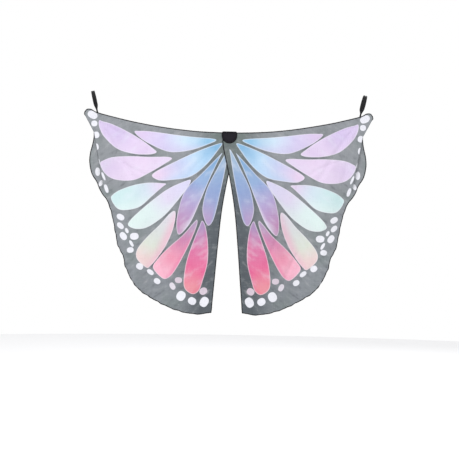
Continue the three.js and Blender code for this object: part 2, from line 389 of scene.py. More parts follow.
def hangUp(flat, mirror):
    # from the cloth laid flat to how it hangs: (x, y, z) for the wearer's right wing
    x, z = flat[..., 0], flat[..., 1]
    down = (wing["top"] - z) / wing["drop"]
    flare = hanging["foldFlare"] * np.maximum(hanging["flareTo"] - down, 0)
    foldX = (hanging["foldReach"] - hanging["foldLean"] * down + flare) * wing["reach"]
    folded = smooth((down - hanging["foldFrom"]) / 0.03) * smooth((hanging["foldTo"] - down) / 0.1)
    past = smooth((x - foldX) / hanging["foldRun"])
    placedX = x - hanging["foldCloth"] * folded * past
    fromHinge = x - wing["hinge"] - hanging["rampStart"]
    run = hanging["rampEnd"] * wing["reach"] - wing["hinge"] - hanging["rampStart"]
    loose = smooth(down) * smooth(fromHinge / hanging["waveFade"])
    y = wing["forward"] * ramp(fromHinge / run)
    y += hanging["wave"] * loose * np.sin(2 * np.pi * hanging["waveCount"] * x / wing["reach"])
    y += hanging["foldDepth"] * folded * past
    ruffled = hemRuffle(x, z, down)
    y += hanging["ruffle"] * ruffled + creases(x, z, mirror)
    return np.stack([placedX + 0.3 * hanging["ruffle"] * ruffled, y,
                     z - 0.3 * hanging["ruffle"] * ruffled], -1)


def hemRuffle(x, z, down):
    # the free hem waves a little; the waves die out into the cloth and towards the tip
    columns, rows = x.shape
    fromOuter = (1 - np.linspace(0, 1, columns)[:, None]) * wing["reach"]
    fromBottom = np.linspace(0, 1, rows)[None, :] * wing["drop"]
    near = np.maximum(smooth(1 - fromOuter / hanging["ruffleReach"]),
                      smooth(1 - fromBottom / hanging["ruffleReach"]))
    turn = 2 * np.pi * (x + z) / hanging["ruffleLength"]
    return near * smooth((down - 0.3) / 0.2) * (np.sin(turn) + 0.6 * np.sin(1.63 * turn + 1)) / 1.3


def creases(x, z, mirror):
    # pull lines from the wrist and from the patch, and slow ripples; none where the wing is sewn
    rng = np.random.default_rng(hanging["seed"] + (mirror < 0))
    attachX = outline["attach"] * wing["reach"]
    attachZ = wing["top"] + outline["attachRise"] * wing["drop"]
    depth = np.zeros_like(x)
    for centreX, centreZ, count, reach in ((attachX, attachZ, 11, 0.13), (wing["hinge"], 0.0, 13, 0.1)):
        angle = np.arctan2(z - centreZ, x - centreX)
        far = np.hypot(x - centreX, z - centreZ)
        lines = np.sin(count * angle + rng.uniform(0, 6)) * np.sin(5.3 * angle + rng.uniform(0, 6))
        depth += hanging["pullLines"] * lines * smooth(far / 0.03) * np.exp(-far / reach)
    for _ in range(7):
        heading = rng.uniform(-0.6, 0.6)
        size = rng.uniform(0.05, 0.16)
        phase = rng.uniform(0, 6)
        place = x * math.cos(heading) + z * math.sin(heading)
        depth += hanging["ripple"] * size / 0.16 * np.sin(2 * np.pi * place / size + phase)
    for x0, z0, x1, z1, deep, wide in creaseLines[::1 if mirror > 0 else -1]:
        span = np.array([x1 - x0, z1 - z0])
        length = np.linalg.norm(span)
        along = ((x / mm - x0) * span[0] + (z / mm - z0) * span[1]) / length ** 2
        sag = 6 * mirror * np.sin(np.pi * np.clip(along, 0, 1))
        aside = ((x / mm - x0) * span[1] - (z / mm - z0) * span[0]) / length - sag
        width = wide * (0.7 + 0.9 * np.clip(along, 0, 1))
        held = smooth(along / 0.15 + 0.5) * smooth((1 - along) / 0.35)
        ridge = np.exp(-(aside / width) ** 2) - 0.4 * np.exp(-(aside / width / 2) ** 2)
        depth += deep * hanging["creaseScale"] * mm * held * ridge
    free = smooth(np.maximum((x - wing["hinge"] - 0.004) / 0.07, (-z - 0.15) / 0.15))
    calmTip = smooth(np.hypot(x - attachX, z - attachZ) / 0.05)
    return depth * free * calmTip


# Printed cells: petals from root to end, in millimetres. "one" and "two" are how far the outline stands
# off on each side at the stations, "colours" run from root to end, and "wash" comes in on side two.
stations = (0.08, 0.3, 0.55, 0.8, 0.94)     # shares of a petal's length
colourStops = (0.1, 0.38, 0.65, 0.9)
cells = {
    "topInner": dict(root=(37, -8), end=(274, 15), one=(-3, -2, -3, -5, -3), two=(13, 37, 48, 31, 14),
                     colours=((152, 200, 234), (214, 236, 254), (222, 214, 247), (228, 209, 243)),
                     wash=(216, 205, 240), group=0),
    "topOuter": dict(root=(209, -45), end=(378, 46), one=(-5, -11, -12, -9, -3),
                     two=(15, 36, 46, 35, 18),
                     colours=((233, 216, 245), (232, 214, 245), (216, 197, 238), (222, 206, 240)),
                     wash=(234, 218, 245), group=1),
    "sideUpper": dict(root=(164, -62), end=(373, -80), one=(-6, -9, -15, -17, -10), two=(11, 34, 54, 49, 30),
                      colours=((234, 217, 246), (238, 219, 246), (234, 216, 244), (226, 211, 240)),
                      wash=(235, 218, 244), group=2),
    "sideInner": dict(root=(20, -17), end=(221, -114), one=(-5, -9, -10, -9, -7), two=(12, 36, 48, 33, 19),
                      colours=((140, 188, 226), (194, 224, 250), (212, 214, 246), (240, 219, 246)),
                      wash=(190, 220, 248), group=1),
    "sideMiddle": dict(root=(180, -136), end=(340, -181), one=(-6, -17, -21, -18, -11),
                       two=(6, 24, 44, 43, 31),
                       colours=((234, 218, 246), (216, 230, 243), (212, 238, 241), (212, 238, 240)),
                       wash=(232, 247, 246), group=0),
    "sideLower": dict(root=(109, -124), end=(288, -258), one=(-8, -18, -18, -14, -9),
                      two=(11, 26, 38, 37, 22),
                      colours=((222, 219, 247), (231, 222, 246), (228, 244, 244), (228, 246, 243)),
                      wash=(226, 236, 238), group=2),
    "lowerOuter": dict(root=(19, -44), end=(142, -281), one=(-7, -24, -43, -31, -15),
                       two=(0, 3, 9, 14, 9),
                       colours=((134, 176, 218), (156, 182, 222), (184, 168, 212), (196, 146, 188)),
                       wash=(218, 208, 232), washed=0.85, group=0),
    "lowerInner": dict(root=(1, -33), end=(57, -254), one=(-7, -19, -31, -29, -15),
                       two=(2, 6, 9, 11, 9),
                       colours=((164, 190, 216), (150, 176, 216), (152, 168, 212), (186, 166, 206)),
                       wash=(156, 180, 216), group=1),
    "hemOuter": dict(root=(154, -214), end=(234, -379), one=(-10, -21, -37, -47, -36),
                     two=(10, 20, 22, 16, 9),
                     colours=((228, 222, 234), (222, 226, 226), (224, 230, 218), (242, 216, 216)),
                     wash=(242, 192, 212), washed=0.8, washFrom=-0.5, group=1),
    "hemMiddle": dict(root=(89, -238), end=(187, -409), one=(-5, -13, -29, -40, -38),
                      two=(8, 15, 19, 20, 15),
                      colours=((182, 154, 190), (212, 142, 180), (244, 162, 188), (254, 188, 210)),
                      wash=(242, 134, 176), group=2),
    "hemInner": dict(root=(74, -240), end=(99, -452), one=(-6, -18, -29, -31, -24),
                     two=(12, 25, 31, 24, 17),
                     colours=((178, 148, 192), (222, 120, 168), (236, 120, 162), (238, 150, 164)),
                     wash=(236, 118, 164), group=0),
}

# pale spots: centre, half length, half width (mm) and turn (degrees), from the tip round to the hem;
# a sixth value washes a spot with pink
spots = [
    (397, 62, 15, 10.5, 28), (391.5, 37, 9, 8.5, 0), (385, 4, 9.5, 8.5, 80), (385, -31, 10, 7, 85),
    (380, -75, 10, 6, 85), (401, -103, 12, 7, 88), (363, -116, 13, 3.4, 67), (387, -136, 9, 6.2, 85),
    (354, -152, 13, 5, 72), (311, -234, 12, 8.3, 30), (311, -259, 11.5, 7.2, 42), (292, -273, 8, 4.4, 64),
    (302, -289, 12.5, 9, 52), (270, -289, 12.5, 10, -4), (278, -310, 10.5, 4.2, 60),
    (281, -329, 10, 8, -10), (253, -376, 10.5, 9, 30), (222, -392, 11, 6.5, 37),
    (202, -418, 10, 8, 30), (140, -413, 10.5, 8.5, 0, 1.0), (157, -431, 11, 7.5, 59, 0.5),
    (132, -458, 14.5, 12.5, 120), (100, -472, 12, 10.5, 30), (68, -443, 11.5, 10, 150, 1.0),
    (65, -474, 15, 12, 120),
]


def petalAxis(cell):
    root, end = np.array(cell["root"], float), np.array(cell["end"], float)
    length = np.linalg.norm(end - root)
    along = (end - root) / length
    return root, end, length, along, np.array([along[1], -along[0]])


def petalOutline(cell):
    root, end, _, _, across = petalAxis(cell)
    one, two = ([root + (end - root) * share + across * width
                 for share, width in zip(stations, cell[side])] for side in ("one", "two"))
    return splineThrough([root, *one, end, *two[::-1]], 8, closed=True)


def insideDistance(points, shape):
    # signed distance to a closed outline, positive inside
    ends = np.roll(shape, -1, axis=0)
    nearest = np.full(len(points), 1e9)
    inside = np.zeros(len(points), bool)
    for start, end in zip(shape, ends):
        span = end - start
        t = np.clip(((points - start) @ span) / max(span @ span, 1e-9), 0, 1)
        nearest = np.minimum(nearest, np.linalg.norm(points - start - t[:, None] * span, axis=1))
        crosses = (start[1] > points[:, 1]) != (end[1] > points[:, 1])
        with np.errstate(divide="ignore", invalid="ignore"):
            reachX = start[0] + (points[:, 1] - start[1]) * span[0] / (span[1] or 1e-9)
        inside ^= crosses & (points[:, 0] < reachX)
    return np.where(inside, nearest, -nearest)


def printCloth(mesh, flat):
    # distances to the printed edges in millimetres, and the colour of the nearest cell
    points = flat.reshape(-1, 2) / mm
    edges = np.full((len(points), 3), -99.0)
    nearest = np.full(len(points), -1e9)
    shown = np.zeros((len(points), 4))
    for cell in cells.values():
        distance = insideDistance(points, petalOutline(cell))
        group = cell["group"]
        edges[:, group] = np.maximum(edges[:, group], distance)
        root, _, length, along, across = petalAxis(cell)
        t = np.clip((points - root) @ along / length, 0, 1)
        aside = (points - root) @ across / max(cell["two"])
        stops = np.array([colour(*stop) for stop in cell["colours"]])
        shade = np.stack([np.interp(t, colourStops, stops[:, k]) for k in range(4)], 1)
        start = cell.get("washFrom", 0.15)
        wash = smooth((aside - start) / (0.9 - start))[:, None] * cell.get("washed", 0.6)
        shade = shade * (1 - wash) + np.array(colour(*cell["wash"])) * wash
        closer = distance > nearest
        shown[closer] = shade[closer]
        nearest = np.maximum(nearest, distance)
    spotEdge = np.full(len(points), -99.0)
    spotPink = np.zeros(len(points))
    power = cloth["spotPower"]
    for x, z, long, wide, turn, *pink in spots:
        away = points - (x, z)
        c, s = math.cos(math.radians(turn)), math.sin(math.radians(turn))
        a = (away @ (c, s)) / long
        b = (away @ (-s, c)) / wide
        offCentre = (np.abs(a) ** power + np.abs(b) ** power) ** (1 / power)
        spotPink = np.where(offCentre < 1.4, sum(pink), spotPink)     # a little past the spot's edge
        spotEdge = np.maximum(spotEdge, (1 - offCentre) * wide)
    setAttribute(mesh, "cellEdges", "FLOAT_VECTOR", edges, "vector")
    setAttribute(mesh, "spotEdge", "FLOAT", spotEdge)
    setAttribute(mesh, "spotPink", "FLOAT", spotPink)
    setAttribute(mesh, "cellColour", "FLOAT_COLOR", shown, "color")


cloth = {
    "upper": colour(150, 154, 159),
    "lower": colour(142, 147, 153),
    "lowCentre": colour(88, 95, 101),
    "greenish": colour(118, 133, 127),
    # dark of the printed veins, also the colour of the painted shade streaks
    "veinAndShade": colour(72, 76, 84),
    # pale colour of the painted sheen streaks
    "paintedSheen": colour(186, 188, 190),
    "spot": colour(244, 245, 252),
    "pinkSpot": colour(222, 208, 221),
    "rim": colour(244, 243, 250),
    "centre": colour(112, 121, 121),
    "softness": 0.45,      # width of the printed edge, mm
    "spotPower": 2.3,      # 2 is an ellipse, more is squarer
    "veinWidth": 8.0,      # ground closer than this to two cells is dark, mm
    "weavePitch": 0.0011,
}


def clothMaterial():
    material, tree, shader = newMaterial("printedCloth", Sheen_Weight=0.05, Sheen_Roughness=0.5,
                                         Specular_IOR_Level=0.22)
    uv = addNode(tree, "ShaderNodeUVMap", uv_map="UVMap").outputs[0]
    edges = readAttribute(tree, "cellEdges", "Vector")
    spotEdge = readAttribute(tree, "spotEdge")
    cellColour = readAttribute(tree, "cellColour", "Color")
    apart = addNode(tree, "ShaderNodeSeparateXYZ", {0: edges}).outputs
    edge = maths(tree, "MAXIMUM", maths(tree, "MAXIMUM", apart[0], apart[1]), apart[2])
    soft = cloth["softness"]
    wobble = cloudy(tree, uv, 190.0, 0.8)
    edge = maths(tree, "ADD", edge, wobble)
    spotEdge = maths(tree, "ADD", spotEdge, wobble)
    isCell = remap(tree, edge, -soft, soft)
    isSpot = remap(tree, spotEdge, -soft, soft)

    # both wings carry the same print, mirrored, so its drifts are laid out from the centre line
    place = addNode(tree, "ShaderNodeSeparateXYZ", {0: uv}).outputs
    fromCentre = maths(tree, "ABSOLUTE", maths(tree, "SUBTRACT", place[0], 0.5))
    mirrored = addNode(tree, "ShaderNodeCombineXYZ", {0: fromCentre, 1: place[1]}).outputs[0]
    turned = addNode(tree, "ShaderNodeMapping", {
        "Vector": mirrored, "Rotation": (0.0, 0.0, -0.95)}).outputs[0]
    leaning = addNode(tree, "ShaderNodeMapping", {
        "Vector": turned, "Scale": (1.0, 0.4, 1.0)}).outputs[0]

    # grey ground: paler towards the top, dark in the narrow veins, with drifts of green, and painted sheen
    # and painted shade in long diagonal streaks
    clouds = cloudy(tree, mirrored, 24.0, 1.8, 6.0)
    raised = remap(tree, maths(tree, "MULTIPLY_ADD", clouds, 0.2, place[1]), 0.2, 0.55)
    # low down beside the inner hem the ground is darker
    lowGround = mixColours(tree, remap(tree, fromCentre, 0.03, 0.2), cloth["lowCentre"], cloth["lower"])
    ground = mixColours(tree, raised, lowGround, cloth["upper"])
    centre = mixColours(tree, remap(tree, place[1], 0.42, 0.56), cloth["lowCentre"], cloth["centre"])
    # a vein is ground with one cell close on each side: the second nearest decides
    least = maths(tree, "MINIMUM", maths(tree, "MINIMUM", apart[0], apart[1]), apart[2])
    total = maths(tree, "ADD", maths(tree, "ADD", apart[0], apart[1]), apart[2])
    second = maths(tree, "SUBTRACT", maths(tree, "SUBTRACT", total, least), edge)
    openness = remap(tree, maths(tree, "MULTIPLY", second, -1.0), 1.5, cloth["veinWidth"], 0.2, 1.0)
    ground = mixColours(tree, openness, cloth["veinAndShade"], ground)
    ground = mixColours(tree, remap(tree, fromCentre, 0.02, 0.13), centre, ground)
    patches = cloudy(tree, mirrored, 13.0, 2.0)
    green = remap(tree, patches, -0.1, 0.6, 0.0, 0.55)
    ground = mixColours(tree, green, ground, cloth["greenish"])
    # painted sheen: pale diagonal streaks over the ground
    paintedSheen = cloudy(tree, leaning, 80.0, 1.6, 8.0)
    ground = mixColours(tree, remap(tree, paintedSheen, 0.02, 0.55, 0.0, 0.5), ground, cloth["paintedSheen"])
    # painted shade: dark diagonal streaks where the same noise runs low, in the vein colour
    shade = maths(tree, "MULTIPLY", paintedSheen, -1.0)
    ground = mixColours(tree, remap(tree, shade, 0.02, 0.5, 0.0, 0.55), ground, cloth["veinAndShade"])

    # watercolour cells with a pale rim; their lighter and deeper blooms are the print's watercolour and also
    # painted shading in diagonal streaks
    bloomAndShading = cloudy(tree, leaning, 36.0, 1.8, 5.0)
    lighter = remap(tree, bloomAndShading, 0.0, 0.5, 0.0, 0.34)
    deeper = remap(tree, maths(tree, "MULTIPLY", bloomAndShading, -1.0), 0.0, 0.5, 0.0, 0.42)
    cell = mixColours(tree, lighter, cellColour, colour(238, 244, 254))
    rich = addNode(tree, "ShaderNodeHueSaturation", {"Color": cell, "Saturation": 1.3, "Value": 0.95})
    cell = mixColours(tree, deeper, cell, rich.outputs[0])
    rim = remap(tree, edge, 0.6, 3.0, 0.5, 0.0)
    cell = mixColours(tree, rim, cell, cloth["rim"])
    spotCloud = cloudy(tree, uv, 60.0, 1.1)
    spot = mixColours(tree, maths(tree, "ABSOLUTE", spotCloud), cloth["spot"], colour(214, 210, 232))
    spot = mixColours(tree, readAttribute(tree, "spotPink"), spot, cloth["pinkSpot"])
    shown = mixColours(tree, isCell, ground, cell)
    shown = mixColours(tree, isSpot, shown, spot)

    # weave, with painted shade between its threads, and thicker threads here and there in both directions,
    # with a painted highlight where they stand up and painted shade where they sink
    height = useGroup(tree, weave, {"Vector": uv, "Pitch": cloth["weavePitch"]})["Height"]
    # painted shade in the low parts of the weave
    shown = mixColours(tree, remap(tree, height, 0.0, 0.5, 0.16, 0.0), shown, colour(52, 54, 66))
    slubs = 0.0
    for scale in ((1.0, 0.07, 1.0), (0.07, 1.0, 1.0)):
        stretched = addNode(tree, "ShaderNodeMapping", {"Vector": uv, "Scale": scale}).outputs[0]
        slubs = maths(tree, "ADD", cloudy(tree, stretched, 420.0, 1.0, 2.0), slubs)
    # painted highlight on the raised thick threads
    shown = mixColours(tree, remap(tree, slubs, 0.05, 0.5, 0.0, 0.15), shown, colour(238, 240, 246))
    # painted shade where the threads sink
    sunkShade = maths(tree, "MULTIPLY", slubs, -1.0)
    shown = mixColours(tree, remap(tree, sunkShade, 0.05, 0.5, 0.0, 0.16), shown, colour(58, 62, 78))
    dress(tree, shader, shown, maths(tree, "ADD", height, slubs), 0.4, 0.0003)
    tree.links.new(remap(tree, slubs, -0.5, 0.5, 0.5, 0.66), shader.inputs["Roughness"])
    return material


def wingCloth(name, material):
    side = sides[name]
    flat = layOut()
    columns, rows = flat.shape[:2]
    places = hangUp(flat, side).reshape(-1, 3)
    places[:, 0] *= side
    places[:, 1] += layers[name]
    index = np.arange(columns * rows).reshape(columns, rows)
    faces = np.stack([index[:-1, :-1], index[1:, :-1], index[1:, 1:], index[:-1, 1:]], -1).reshape(-1, 4)
    if side < 0:
        faces = faces[:, ::-1]
    piece = makeObject(f"{name}Cloth", places, faces)
    setUv(piece.data, flat.reshape(-1, 2) * (side, 1) + (0.5, 0.6))
    printCloth(piece.data, flat)
    piece.data.materials.append(material)
    thick = piece.modifiers.new("thickness", "SOLIDIFY")
    thick.thickness = hanging["thickness"]
    thick.offset = 0
    joinWing(piece)
    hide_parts(f"{name}_wing_panel")
    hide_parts(f"{name}_sewn_strip")
    return places.reshape(columns, rows, 3)


def joinWing(piece):
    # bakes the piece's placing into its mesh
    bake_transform(piece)


# Thread loops: one Geometry Nodes tree for overlock, running stitches, tacks and hooks

def threadTree():
    tree = bpy.data.node_groups.new("threadLoops", "GeometryNodeTree")
    face = tree.interface
    face.new_socket("Geometry", in_out="INPUT", socket_type="NodeSocketGeometry")
    for label, kind, default in (
            ("Half Width", "NodeSocketFloat", 0.0015), ("Half Height", "NodeSocketFloat", 0.0009),
            ("Thread Radius", "NodeSocketFloat", 0.0002), ("Start Angle", "NodeSocketFloat", -2.2),
            ("Sweep", "NodeSocketFloat", 4.4), ("Slant", "NodeSocketFloat", 0.0),
            ("Jitter", "NodeSocketFloat", 0.12), ("Seed", "NodeSocketInt", 1),
            ("Resolution", "NodeSocketInt", 7), ("Material", "NodeSocketMaterial", None)):
        socket = face.new_socket(label, in_out="INPUT", socket_type=kind)
        if default is not None:
            socket.default_value = default
    face.new_socket("Geometry", in_out="OUTPUT", socket_type="NodeSocketGeometry")
    given = tree.nodes.new("NodeGroupInput").outputs
    result = tree.nodes.new("NodeGroupOutput").inputs

    arc = addNode(tree, "GeometryNodeCurveArc", {
        "Resolution": given["Resolution"], "Radius": 1.0,
        "Start Angle": given["Start Angle"], "Sweep Angle": given["Sweep"]}).outputs["Curve"]
    size = addNode(tree, "ShaderNodeCombineXYZ", {0: given["Half Width"], 1: given["Half Height"], 2: 1.0})
    shaped = addNode(tree, "GeometryNodeTransform", {"Geometry": arc, "Scale": size.outputs[0]})
    profile = addNode(tree, "GeometryNodeCurvePrimitiveCircle", {
        "Resolution": 4, "Radius": given["Thread Radius"]}).outputs["Curve"]
    thread = addNode(tree, "GeometryNodeCurveToMesh", {
        "Curve": shaped.outputs[0], "Profile Curve": profile, "Fill Caps": True}).outputs["Mesh"]

    def named(label):
        return addNode(tree, "GeometryNodeInputNamedAttribute", {"Name": label},
                       data_type="FLOAT_VECTOR").outputs["Attribute"]

    along, out = named("along"), named("out")
    leaned = addNode(tree, "ShaderNodeVectorMath", {0: out, "Scale": given["Slant"]},
                     operation="SCALE").outputs[0]
    axis = addNode(tree, "ShaderNodeVectorMath", {0: along, 1: leaned}, operation="ADD").outputs[0]
    turned = addNode(tree, "FunctionNodeAlignRotationToVector", {"Vector": axis}, axis="Z").outputs[0]
    turned = addNode(tree, "FunctionNodeAlignRotationToVector", {"Rotation": turned, "Vector": out},
                     axis="X", pivot_axis="Z").outputs[0]
    least = maths(tree, "SUBTRACT", 1.0, given["Jitter"])
    most = maths(tree, "ADD", 1.0, given["Jitter"])
    spread = addNode(tree, "FunctionNodeRandomValue", {2: least, 3: most, "Seed": given["Seed"]},
                     data_type="FLOAT")
    placed = addNode(tree, "GeometryNodeInstanceOnPoints", {
        "Points": given["Geometry"], "Instance": thread, "Rotation": turned,
        "Scale": spread.outputs[1]}).outputs[0]
    real = addNode(tree, "GeometryNodeRealizeInstances", {0: placed}).outputs[0]
    coated = addNode(tree, "GeometryNodeSetMaterial", {
        "Geometry": real, "Material": given["Material"]}).outputs[0]
    tree.links.new(coated, result["Geometry"])
    return tree


threadLoops = threadTree()


def sewThreads(name, points, along, out, material, **values):
    # a plain mesh of thread loops, one at each point
    seeds = bpy.data.meshes.new(f"{name}Points")
    seeds.from_pydata(np.asarray(points).tolist(), [], [])
    setAttribute(seeds, "along", "FLOAT_VECTOR", along, "vector")
    setAttribute(seeds, "out", "FLOAT_VECTOR", out, "vector")
    holder = bpy.data.objects.new(f"{name}Holder", seeds)
    bpy.context.scene.collection.objects.link(holder)
    modifier = holder.modifiers.new("threads", "NODES")
    modifier.node_group = threadLoops
    values["Material"] = material
    for item in threadLoops.interface.items_tree:
        if item.in_out == "INPUT" and item.name in values:
            modifier[item.identifier] = values[item.name]
    depsgraph = bpy.context.evaluated_depsgraph_get()
    mesh = bpy.data.meshes.new_from_object(holder.evaluated_get(depsgraph), depsgraph=depsgraph)
    holder.modifiers.remove(modifier)
    bpy.data.objects.remove(holder)
    mesh.name = name
    mesh.shade_smooth()
    piece = bpy.data.objects.new(name, mesh)
    bpy.context.scene.collection.objects.link(piece)
    return piece


def sweep(name, line, across, up, width, thickness, closed):
    # a flat band with rounded sides along a line; uv runs round it and along it in metres
    line, across, up = (np.asarray(part, float) for part in (line, across, up))
    widths = np.broadcast_to(np.asarray(width, float), (len(line),))
    corner = np.linspace(-np.pi / 2, np.pi / 2, 4)
    half = thickness / 2
    ring = [(1, half * math.cos(a), half * math.sin(a)) for a in corner]
    ring += [(-1, -half * math.cos(a), -half * math.sin(a)) for a in corner]
    rows = []
    for side, sideways, upward in ring:
        reach = side * (widths / 2 - half) + sideways
        rows.append(line + across * reach[:, None] + up * upward)
    grid = np.stack(rows, 1)
    count, size = grid.shape[:2]
    index = np.arange(count * size).reshape(count, size)
    after = np.roll(index, -1, axis=0) if closed else index[1:]
    before = index if closed else index[:-1]
    faces = np.stack([before, np.roll(before, -1, 1), np.roll(after, -1, 1), after], -1).reshape(-1, 4)
    faces = [tuple(face) for face in faces]
    if not closed:
        faces += [tuple(index[0][::-1]), tuple(index[-1])]
    piece = makeObject(name, grid.reshape(-1, 3), faces)
    run = np.r_[0, np.cumsum(np.linalg.norm(np.diff(line, axis=0), axis=1))]
    around = np.array([side * 0.5 + 0.5 * sideways / half for side, sideways, _ in ring])
    uv = np.stack(np.broadcast_arrays(around[None] * widths[:, None] / 2, run[:, None]), -1)
    setUv(piece.data, uv.reshape(-1, 2))
    faceOutward(piece)
    return piece


def faceOutward(piece):
    bpy.context.view_layer.objects.active = piece
    piece.select_set(True)
    bpy.ops.object.mode_set(mode="EDIT")
    bpy.ops.mesh.select_all(action="SELECT")
    bpy.ops.mesh.normals_make_consistent(inside=False)
    bpy.ops.object.mode_set(mode="OBJECT")
    piece.select_set(False)


# Black edging: a narrow band over the cut edge, and the overlock threads that wrap it

edging = {
    "width": 0.0028,
    "thickness": 0.0013,
    "pitch": 0.0019,           # from one thread loop to the next
    "threadRadius": 0.00024,
    "slant": 0.35,
    "inset": 0.42,             # share of its width that the band lies over the cloth
    "colour": colour(20, 20, 23),
    "threadColour": colour(34, 34, 38),
}


def threadMaterial(name, base, roughness=0.72):
    material, tree, shader = newMaterial(name, Roughness=roughness, Specular_IOR_Level=0.16)
    place = addNode(tree, "ShaderNodeTexCoord").outputs["Object"]
    fuzz = cloudy(tree, place, 900.0, 0.9)
    paler = remap(tree, fuzz, -0.1, 0.45, 0.0, 0.35)
    tone = mixColours(tree, paler, base, colour(74, 74, 80))
    tone = dusty(tree, tone, place, 500.0, 0.1, colour(170, 168, 166))
    dress(tree, shader, tone, fuzz, 0.5, 0.0001)
    return material


def rimOf(grid):
    # places round the wing and the direction out of the cloth at each
    loop = [(grid[i, -1], grid[i, -2]) for i in range(grid.shape[0])]
    loop += [(grid[-1, j], grid[-2, j]) for j in range(grid.shape[1] - 2, -1, -1)]
    loop += [(grid[i, 0], grid[i, 1]) for i in range(grid.shape[0] - 2, -1, -1)]
    loop += [(grid[0, j], grid[1, j]) for j in range(1, grid.shape[1] - 1)]
    rim = np.array([edge for edge, _ in loop])
    inside = np.array([inner for _, inner in loop])
    ahead = headings(rim)
    out = rim - inside
    out -= ahead * (out * ahead).sum(1)[:, None]
    return rim, ahead, unit(out)


def wingEdging(name, grid, bandMaterial, loopMaterial):
    rim, ahead, out = rimOf(grid)
    up = np.cross(ahead, out)
    middle = rim - out * edging["width"] * edging["inset"]
    band = sweep(f"{name}EdgingBand", middle, out, up, edging["width"], edging["thickness"], True)
    band.data.materials.append(bandMaterial)
    joined = np.hstack([middle, ahead, out])
    joined = np.vstack([joined, joined[:1]])
    length = np.linalg.norm(np.diff(joined[:, :3], axis=0), axis=1).sum()
    stitches = evenly(joined, int(length / edging["pitch"]))[:-1]
    threads = sewThreads(
        f"{name}EdgingThread", stitches[:, :3], stitches[:, 3:6], stitches[:, 6:9], loopMaterial,
        **{"Half Width": edging["width"] / 2 + 0.0001, "Half Height": edging["thickness"] / 2 + 0.0001,
           "Thread Radius": edging["threadRadius"], "Start Angle": -2.5, "Sweep": 5.0,
           "Slant": edging["slant"], "Jitter": 0.1, "Seed": 3, "Resolution": 7})
    for piece in (band, threads):
        joinWing(piece)
        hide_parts(f"{name}_wing_edging")
        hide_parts(f"{name}_strip_edging")


# Elastic wrist loop with its sewn ends and bar tack

elastic = {
    "width": 0.010,
    "neckWidth": 0.0046,       # pinched where the two ends meet, up to here and over this height
    "pinchTop": 0.003,
    "pinchRun": 0.017,
    "thickness": 0.0011,
    "radius": 0.0248,
    "centre": 0.0338,          # of the ring, above the loop's hinge
    "neck": 0.006,
    "ends": 0.0125,            # sewn length below the hinge
    "lean": math.radians(13),
    "ribs": 0.00085,           # knit: pitch across and along the band
    "picks": 0.0011,
    "tackFrom": -0.0058,       # bar tack across the sewn ends
    "tackTo": -0.0022,
    "tackThreads": 9,
    "colour": colour(22, 22, 25),
}


def elasticMaterial():
    material, tree, shader = newMaterial("ribbedElastic", Roughness=0.45, Specular_IOR_Level=0.18)
    uv = addNode(tree, "ShaderNodeUVMap", uv_map="UVMap").outputs[0]
    apart = addNode(tree, "ShaderNodeSeparateXYZ", {0: uv}).outputs
    rib = maths(tree, "SINE", maths(tree, "MULTIPLY", apart[0], 2 * math.pi / elastic["ribs"]))
    pick = maths(tree, "SINE", maths(tree, "MULTIPLY", apart[1], 2 * math.pi / elastic["picks"]))
    knit = maths(tree, "ADD", rib, maths(tree, "MULTIPLY", pick, 0.45))
    # painted shade in the knit's grooves: darker where the knit runs low
    grooveShadeMask = remap(tree, knit, -1.2, 0.6)
    fuzz = cloudy(tree, uv, 700.0, 0.6)
    tone = mixColours(tree, grooveShadeMask, colour(10, 10, 12), elastic["colour"])
    tone = mixColours(tree, maths(tree, "ABSOLUTE", fuzz), tone, colour(50, 49, 56))
    dress(tree, shader, tone, knit, 0.6, 0.0002)
    return material


def atLoop(name, points):
    # places drawn at the loop's hinge (across the band, forward, up) moved to one wing
    joint = next(j for j in frame["joints"] if j["name"] == f"{name}_loop_flop")
    lean = elastic["lean"] * sides[name]
    points = np.asarray(points, float)
    across, forward, up = points[:, 0] * sides[name], points[:, 1], points[:, 2]
    turned = np.stack([across * math.cos(lean) + up * math.sin(lean), forward,
                       -across * math.sin(lean) + up * math.cos(lean)], 1)
    return turned, turned + np.array(joint["pos_m"])


def loopLine():
    # elastic seen from its side: up one face of the neck, round the wrist, and down the other
    radius = elastic["radius"] + elastic["thickness"] / 2
    spread = math.asin(radius / (elastic["centre"] - elastic["neck"] * 0.6))
    angles = np.linspace(-spread, math.pi + spread, 90)
    ring = np.stack([radius * np.cos(angles), elastic["centre"] + radius * np.sin(angles)], 1)
    half = elastic["thickness"] / 2 + 0.00005
    start = [(half, -elastic["ends"]), (half, -0.006), (half, 0), (half, elastic["neck"] * 0.7)]
    finish = [(-side, up) for side, up in start[::-1]]
    return evenly(splineThrough([*start, *ring[::6], ring[-1], *finish], 8), 220)


